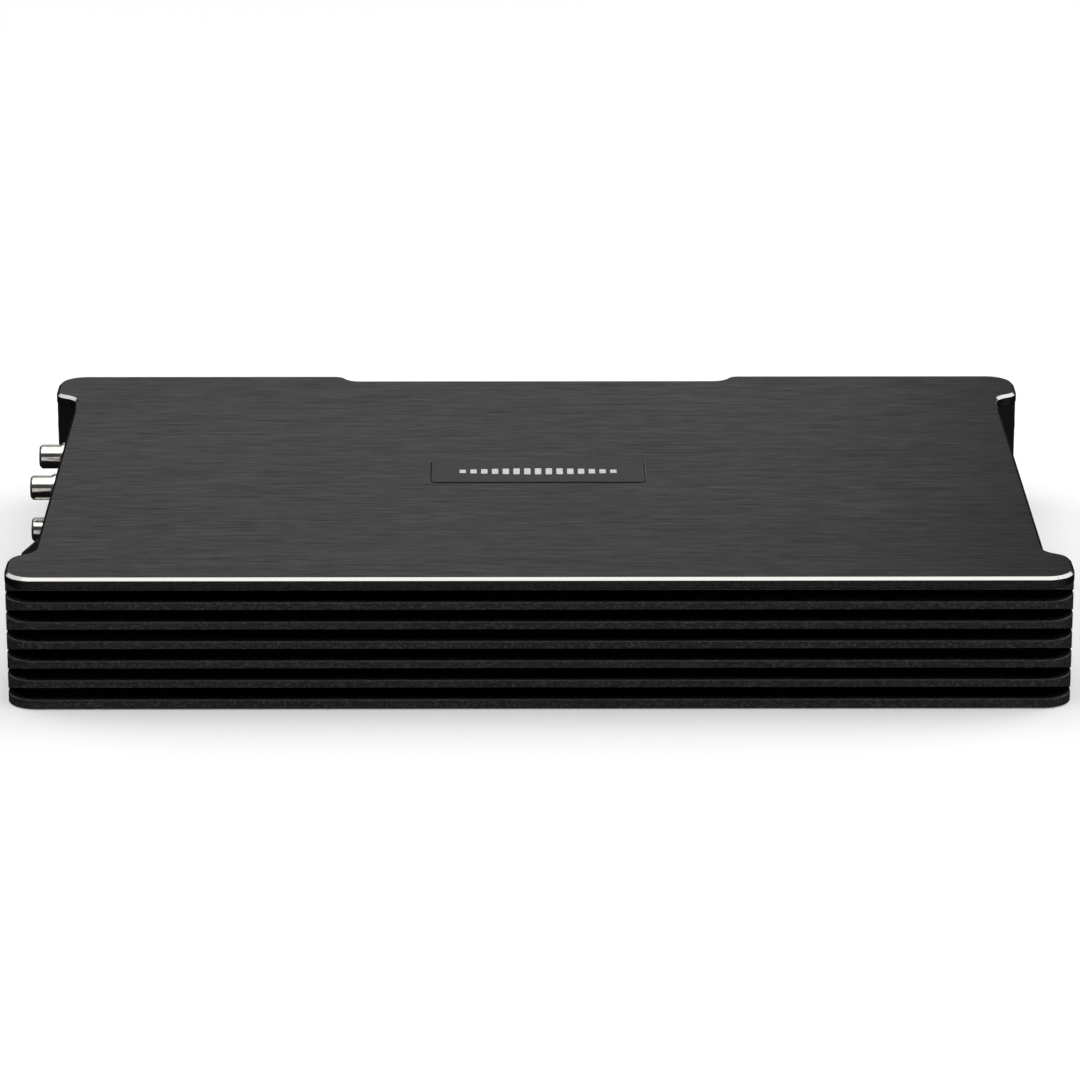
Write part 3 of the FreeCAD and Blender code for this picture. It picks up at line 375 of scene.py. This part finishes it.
def insulator_finish():
    """Coloured insulators: white and red in the upper row, grey in the lower one."""
    upper_far, upper_near, lower_near = [centre_of(f"phono_shell_{n}") for n in (1, 2, 3)]
    f = Finish("jack_insulator_plastic")
    on_far_column = f.beyond("Y", (upper_far.y + upper_near.y) / 2)
    on_upper_row = f.beyond("Z", (upper_near.z + lower_near.z) / 2)
    upper = f.mix(on_far_column, (0.52, 0.020, 0.018), (0.80, 0.79, 0.75))
    tint = f.mix(on_upper_row, (0.16, 0.16, 0.17), upper)
    cloud = f.noise(500.0, detail=3.0)
    f.set("Base Color", f.mix(f.vary(cloud, 0.0, 0.25), tint, (0.3, 0.3, 0.3)))
    f.set("Roughness", f.vary(cloud, 0.38, 0.26))
    f.relief(cloud, 0.01 * MM, 0.4)
    return f.material


def fuse_plastic():
    """Tinted see-through plastic of the blade fuses."""
    f = Finish("fuse_tinted_plastic")
    cloud = f.noise(260.0, detail=3.0)
    f.set("Base Color", f.mottle(cloud, (0.015, 0.30, 0.085), (0.03, 0.46, 0.15)))
    f.set("Roughness", f.vary(cloud, 0.24, 0.14))
    f.set("Transmission Weight", 0.35)
    f.set("IOR", 1.5)
    f.relief(cloud, 0.02 * MM, 0.4)
    return f.material


def light_finish():
    """Pale blue light pipe, faintly lit."""
    f = Finish("status_light_pipe")
    cloud = f.noise(700.0, detail=3.0)
    f.set("Base Color", f.mottle(cloud, (0.10, 0.32, 0.70), (0.25, 0.55, 0.92)))
    f.set("Roughness", f.vary(cloud, 0.20, 0.10))
    f.set("Emission Color", (0.10, 0.35, 0.90, 1.0))
    f.set("Emission Strength", 0.35)
    f.relief(cloud, 0.01 * MM, 0.3)
    return f.material


def board_finish():
    """Green solder mask over faint straight tracks."""
    f = Finish("board_solder_mask")
    track = f.add("ShaderNodeTexBrick")
    f.join(f.stretched((60.0, 60.0, 60.0)), track.inputs["Vector"])
    track.inputs["Scale"].default_value = 4.0
    track.inputs["Mortar Size"].default_value = 0.06
    track.inputs["Color1"].default_value = (0.010, 0.060, 0.030, 1.0)
    track.inputs["Color2"].default_value = (0.014, 0.085, 0.042, 1.0)
    track.inputs["Mortar"].default_value = (0.030, 0.140, 0.070, 1.0)
    f.set("Base Color", track.outputs["Color"])
    weave = f.noise(1500.0)
    f.set("Roughness", f.vary(weave, 0.42, 0.28))
    f.relief(weave, 0.02 * MM, 0.4)
    return f.material


def copper_winding():
    """Enamelled wire wound over the ring core, with painted shade between the turns and a painted highlight
    on each turn.
    """
    f = Finish("winding_enamelled_wire", metallic=0.9)
    centre = centre_of("transformer_winding")
    around = f.maths("ARCTAN2", f.minus(f.axis("Y"), centre.y), f.minus(f.axis("X"), centre.x))
    wire = f.maths("SINE", f.times(around, WINDING_TURNS))
    whole = (-1.0, 1.0)
    # Colour runs from dark in the grooves between the turns to bright on each turn's crest: painted shade
    # and painted highlight over the wire's relief.
    f.set("Base Color", f.mottle(wire, (0.16, 0.05, 0.02), (0.70, 0.30, 0.13), within=whole))
    f.set("Roughness", f.vary(wire, 0.5, 0.25, within=whole))
    f.relief(wire, 0.3 * MM, 0.8)
    return f.material


def black_finishes():
    """The blasted, oxidised and moulded blacks."""
    return {
        "chassis_black": blasted_black("chassis_blasted_black", tone=0.7, grain_size=0.62 * MM,
                                       painted_glint_strength=0.85, gloss=0.32, depth=0.12 * MM),
        "cap_black": blasted_black("cap_blasted_black", tone=0.5, grain_size=0.3 * MM,
                                   painted_glint_strength=0.1, gloss=0.14, depth=0.05 * MM),
        "screw_black": metal("screw_black_oxide", (0.045, 0.045, 0.048), roughness=0.42, depth=0.02 * MM),
        "connector_black": plastic("connector_black_nylon", (0.012, 0.012, 0.013), roughness=0.55),
        "control_black": plastic("control_satin_plastic", (0.016, 0.016, 0.017), roughness=0.42,
                                 texture=0.22 * MM, depth=0.02 * MM),
        "package_black": plastic("package_epoxy", (0.020, 0.020, 0.020), roughness=0.6,
                                 texture=0.15 * MM),
    }


def bright_finishes():
    """The bare and plated metals."""
    return {
        "screw_zinc": metal("screw_bright_zinc", (0.58, 0.59, 0.60), roughness=0.30),
        "contact_gold": metal("contact_gold_flash", (0.95, 0.66, 0.28), roughness=0.20),
        "tin_plate": metal("tin_plate", (0.66, 0.66, 0.64), roughness=0.28),
        "brass": metal("machined_brass", (0.78, 0.58, 0.28), roughness=0.26, grain=(60.0, 1500.0, 60.0)),
        "jack_chrome": chrome_finish(),
    }


def slot_finishes():
    """One material for each material slot of the record."""
    return {
        **black_finishes(),
        **bright_finishes(),
        "cover_aluminium": cover_finish(),
        "base_black": powder_coat(),
        "badge_black": badge_black(),
        "badge_silver": silver_print(),
        "jack_insulator": insulator_finish(),
        "light_lens": light_finish(),
        "fuse_green": fuse_plastic(),
        "board_laminate": board_finish(),
        "winding_copper": copper_winding(),
        "ferrite_grey": plastic("ferrite_sintered", (0.050, 0.050, 0.052), roughness=0.7,
                                texture=0.5 * MM, depth=0.06 * MM, lift=1.6),
        "capacitor_sleeve": plastic("capacitor_sleeve_vinyl", (0.012, 0.012, 0.030), roughness=0.25,
                                    texture=0.9 * MM, depth=0.01 * MM),
        "pad_grey": plastic("thermal_pad_silicone", (0.36, 0.38, 0.40), roughness=0.75, texture=0.4 * MM),
    }


def dress_frame():
    """Gives every frame node its slot's finish, and rounds the sharp edges of the nodes listed in EDGE."""
    slot_of = {row["node"]: row["material_slot"] for row in frame["record"]["subparts"]}
    for name, node in frame["nodes"].items():
        node.data.materials.clear()
        node.data.materials.append(FINISHES[slot_of[name]])
        if name in EDGE:
            soften(node, EDGE[name] * MM)


def soften(node, width):
    """Merges the tessellation into whole faces and rounds its sharp edges, without touching the mesh."""
    weld = node.modifiers.new("weld", "WELD")
    weld.merge_threshold = 0.002 * MM
    planar = node.modifiers.new("planar", "DECIMATE")
    planar.decimate_type = "DISSOLVE"
    planar.angle_limit = math.radians(1)
    bevel = node.modifiers.new("edges", "BEVEL")
    bevel.width = width
    bevel.segments = 2
    bevel.limit_method = "ANGLE"
    bevel.angle_limit = math.radians(35)
    bevel.harden_normals = True
    node.modifiers.new("even", "WEIGHTED_NORMAL").keep_sharp = True


# ---- Details ----

def raised(name, outlines, origin, across, height):
    """Flat shapes of one height on an upright plane; outlines are lists of (across, up) from origin."""
    shape = bmesh.new()
    for outline in outlines:
        face = shape.faces.new([shape.verts.new(origin + across * u + UP * v) for u, v in outline])
        top = bmesh.ops.extrude_face_region(shape, geom=[face], use_keep_orig=True)["geom"]
        lift = [v for v in top if isinstance(v, bmesh.types.BMVert)]
        bmesh.ops.translate(shape, verts=lift, vec=across.cross(UP) * height)
    bmesh.ops.recalc_face_normals(shape, faces=shape.faces)
    mesh = bpy.data.meshes.new(name)
    shape.to_mesh(mesh)
    shape.free()
    piece = bpy.data.objects.new(name, mesh)
    bpy.context.scene.collection.objects.link(piece)
    return piece


def finish_piece(piece, body, slot):
    piece.data.materials.append(FINISHES[slot])
    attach(piece, body)


def print_marks(name, outlines, origin, across):
    """Silver marks on a part that doesn't move."""
    finish_piece(raised(name, outlines, origin, across, MARK_T), "root", "badge_silver")


def bar(at, size, angle=0.0):
    """Rectangle about a point, turned by an angle in degrees."""
    cosine = math.cos(math.radians(angle))
    sine = math.sin(math.radians(angle))
    corners = [(x * size[0] / 2, y * size[1] / 2) for x, y in ((-1, -1), (1, -1), (1, 1), (-1, 1))]
    return [(at[0] + cosine * x - sine * y, at[1] + sine * x + cosine * y) for x, y in corners]


def on_circle(at, radius, angle):
    """Point at an angle in degrees."""
    turn = math.radians(angle)
    return at[0] + radius * math.cos(turn), at[1] + radius * math.sin(turn)


def arc_band(at, radius, width, start, end):
    """Part of a ring between two angles in degrees."""
    angles = [start + (end - start) * n / ARC_STEPS for n in range(ARC_STEPS + 1)]
    outer = [on_circle(at, radius, angle) for angle in angles]
    inner = [on_circle(at, radius - width, angle) for angle in reversed(angles)]
    return outer + inner


def radius_of(knob):
    low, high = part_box(knob)
    return (high.y - low.y) / 2


def knob_scale(knob):
    """Ring of ticks on the panel round a knob, longer at its ends and middle."""
    centre = centre_of(knob)
    ticks = []
    for n in range(TICK_COUNT):
        angle = 90 + KNOB_TURN * (n / (TICK_COUNT - 1) - 0.5)
        length = LONG_TICK if n in (0, TICK_COUNT // 2, TICK_COUNT - 1) else SHORT_TICK
        at = on_circle((0.0, 0.0), radius_of(knob) + TICK_GAP + length / 2, angle)
        ticks.append(bar(at, (length, FINE_LINE), angle))
    print_marks(f"{knob}_scale", ticks, Vector((PANEL_X, centre.y, centre.z)), INPUT_RIGHT)


def knob_pointer(knob, body):
    """Painted line on the floor of the knob's index slot."""
    centre = centre_of(knob)
    radius = radius_of(knob)
    line = bar((0.0, radius * POINTER_AT), (POINTER_W, radius * POINTER_L))
    floor = Vector((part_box(knob)[0].x + INDEX_SLOT, centre.y, centre.z))
    finish_piece(raised(f"{knob}_pointer", [line], floor, INPUT_RIGHT, POINTER_T), body, "badge_silver")


def stroke(start, end):
    """Fine line between two points, a little longer so that the next one meets it."""
    run = end - start
    angle = math.degrees(math.atan2(run.y, run.x))
    return bar((start + end) / 2, (run.length + FINE_LINE / 2, FINE_LINE), angle)


def switch_marks():
    """Falling, level and rising response curves over the slide switch's three places."""
    marks = []
    for curve in (FALLING_CURVE, LEVEL_CURVE, RISING_CURVE):
        points = [Vector(point) * MM for point in curve]
        marks += [stroke(start, end) for start, end in zip(points, points[1:])]
    lever = "filter_switch_lever"
    origin = Vector((PANEL_X, centre_of(lever).y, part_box(lever)[1].z + CURVE_RISE))
    print_marks("filter_switch_marks", marks, origin, INPUT_RIGHT)


def plus_mark(at):
    return [bar(at, (2 * SYMBOL_R, LINE)), bar(at, (LINE, 2 * SYMBOL_R))]


def minus_mark(at):
    return [bar(at, (2 * SYMBOL_R, LINE))]


def ground_mark(at):
    """Stem over three shorter and shorter lines."""
    marks = [bar((at[0], at[1] + GROUND_STEM_AT), (LINE, STEM_L))]
    for n, width in enumerate(GROUND_WIDTHS):
        marks.append(bar((at[0], at[1] + GROUND_TOP - GROUND_STEP * n), (width, GROUND_LINE)))
    return marks


def power_mark(at):
    """Ring, open at the top, with an upright line."""
    ring = arc_band(at, SYMBOL_R, LINE, 90 + POWER_GAP / 2, 450 - POWER_GAP / 2)
    return [ring, bar((at[0], at[1] + POWER_STEM_AT), (LINE, STEM_L))]


def terminal_marks():
    """Polarity, ground and switch-on symbols over the wire entries."""
    symbols = {
        "supply": plus_mark, "ground": ground_mark, "remote": power_mark, "speaker_1": plus_mark,
        "speaker_2": minus_mark, "speaker_3": minus_mark, "speaker_4": plus_mark,
    }
    marks = []
    for name, symbol in symbols.items():
        marks += symbol((centre_of(f"{name}_plate").y, 0.0))
    print_marks("terminal_symbols", marks, Vector((BLOCK_X, 0.0, SYMBOL_Z)), POWER_RIGHT)


def fuse_tabs(fuse, body):
    """Two test points on a fuse's outer face."""
    low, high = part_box(fuse)
    centre = centre_of(fuse)
    tabs = [bar((0.0, side * (high.z - low.z) * TAB_AT), TAB_SIZE) for side in (-1, 1)]
    face = Vector((high.x, centre.y, centre.z))
    piece = raised(f"{fuse}_test_points", tabs, face, POWER_RIGHT, TAB_T)
    soften(piece, TAB_EDGE)
    finish_piece(piece, body, "tin_plate")


# ---- Stage, light and camera ----

def stage_floor():
    """Pale floor that reflections don't see."""
    mesh = bpy.data.meshes.new("floor")
    corners = [(x * FLOOR_HALF, y * FLOOR_HALF, FLOOR_Z) for x, y in ((-1, -1), (1, -1), (1, 1), (-1, 1))]
    mesh.from_pydata(corners, [], [(0, 1, 2, 3)])
    floor = bpy.data.objects.new("floor", mesh)
    bpy.context.scene.collection.objects.link(floor)
    f = Finish("floor_pale")
    f.set("Base Color", f.mix(f.noise(2.0), (0.90, 0.90, 0.90), (0.92, 0.92, 0.92)))
    f.set("Roughness", 0.9)
    f.set("Emission Color", (1.0, 1.0, 1.0, 1.0))
    f.set("Emission Strength", FLOOR_GLOW)
    mesh.materials.append(f.material)
    floor.visible_glossy = False


def area_light(name, at, toward, size, strength, colour=(1.0, 1.0, 1.0)):
    """Soft rectangular light; strength is the radiance of its face."""
    light = bpy.data.lights.new(name, "AREA")
    light.shape = "RECTANGLE"
    light.size, light.size_y = size
    light.energy = strength * math.pi * size[0] * size[1]
    light.color = colour
    lamp = bpy.data.objects.new(name, light)
    lamp.location = at
    lamp.rotation_mode = "QUATERNION"
    lamp.rotation_quaternion = (Vector(toward) - Vector(at)).to_track_quat("-Z", "Y")
    bpy.context.scene.collection.objects.link(lamp)


def sky_bands(tree, height, stops):
    """Grey by height above the horizon."""
    ramp = tree.nodes.new("ShaderNodeValToRGB")
    tree.links.new(height, ramp.inputs["Fac"])
    while len(ramp.color_ramp.elements) < len(stops):
        ramp.color_ramp.elements.new(0.5)
    for element, (sine, grey) in zip(ramp.color_ramp.elements, stops):
        element.position = (sine + 1) / 2
        element.color = (grey, grey, grey * SKY_BLUE, 1.0)
    return ramp.outputs["Color"]


def ranged(tree, source, low, high):
    """Value from 0 to 1 between two limits."""
    node = tree.nodes.new("ShaderNodeMapRange")
    node.inputs["From Min"].default_value = low
    node.inputs["From Max"].default_value = high
    tree.links.new(source, node.inputs["Value"])
    return node.outputs["Result"]


def studio_world():
    """Pale horizon on the camera's side only, dark above it, and a bright ceiling."""
    world = bpy.data.worlds.new("studio")
    bpy.context.scene.world = world
    world.use_nodes = True
    tree = world.node_tree
    outward = tree.nodes.new("ShaderNodeTexCoord").outputs["Generated"]
    way = tree.nodes.new("ShaderNodeSeparateXYZ")
    tree.links.new(outward, way.inputs["Vector"])
    height = ranged(tree, way.outputs["Z"], -1.0, 1.0)
    toward = tree.nodes.new("ShaderNodeVectorMath")
    toward.operation = "DOT_PRODUCT"
    tree.links.new(outward, toward.inputs[0])
    toward.inputs[1].default_value = HORIZON_WAY
    side = tree.nodes.new("ShaderNodeMix")
    side.data_type = "RGBA"
    tree.links.new(ranged(tree, toward.outputs["Value"], *HORIZON_BLEND), side.inputs["Factor"])
    tree.links.new(sky_bands(tree, height, REAR_SKY), side.inputs[MIX_A])
    tree.links.new(sky_bands(tree, height, FRONT_SKY), side.inputs[MIX_B])
    tree.links.new(side.outputs[MIX_RESULT], tree.nodes["Background"].inputs["Color"])


def studio_lights():
    """A warm overhead light, a panel behind the object and a bank at each end."""
    area_light("overhead", at=(0.0, -0.55, 1.35), toward=(0.0, -0.10, 0.0), size=(2.3, 0.9),
               strength=0.85, colour=(1.0, 0.985, 0.96))
    area_light("back_panel", at=(-0.12, 2.2, 0.78), toward=(-0.05, 0.0, 0.0), size=(1.0, 0.8), strength=0.80)
    area_light("left_bank", at=(-1.82, 0.62, 1.45), toward=(-0.15, -0.1, 0.0), size=BANK_SIZE, strength=1.4)
    area_light("right_bank", at=(1.82, 0.58, 1.42), toward=(0.15, -0.1, 0.0), size=BANK_SIZE, strength=1.8)


def photo_camera():
    """Camera at the photograph's place and angle."""
    camera = bpy.data.objects.new("camera", bpy.data.cameras.new("camera"))
    camera.data.sensor_width = SENSOR
    camera.data.lens = LENS
    camera.data.clip_start = NEAREST
    camera.data.clip_end = FARTHEST
    camera.location = CAMERA_AT
    turn = Matrix.Rotation(math.radians(-CAMERA_YAW), 3, "Z")
    turn @= Matrix.Rotation(math.radians(90 - CAMERA_PITCH), 3, "X")
    turn @= Matrix.Rotation(math.radians(CAMERA_ROLL), 3, "Z")
    camera.rotation_euler = turn.to_euler()
    bpy.context.scene.collection.objects.link(camera)
    bpy.context.scene.camera = camera
    bpy.context.scene.view_settings.view_transform = "Standard"


photo_camera()
studio_world()
studio_lights()
stage_floor()
FINISHES = slot_finishes()
dress_frame()
for knob, body in (("level_knob", "level_control"), ("crossover_knob", "crossover_control")):
    knob_scale(knob)
    knob_pointer(knob, body)
switch_marks()
terminal_marks()
for fuse, body in (("fuse_1_body", "fuse_one"), ("fuse_2_body", "fuse_two")):
    fuse_tabs(fuse, body)
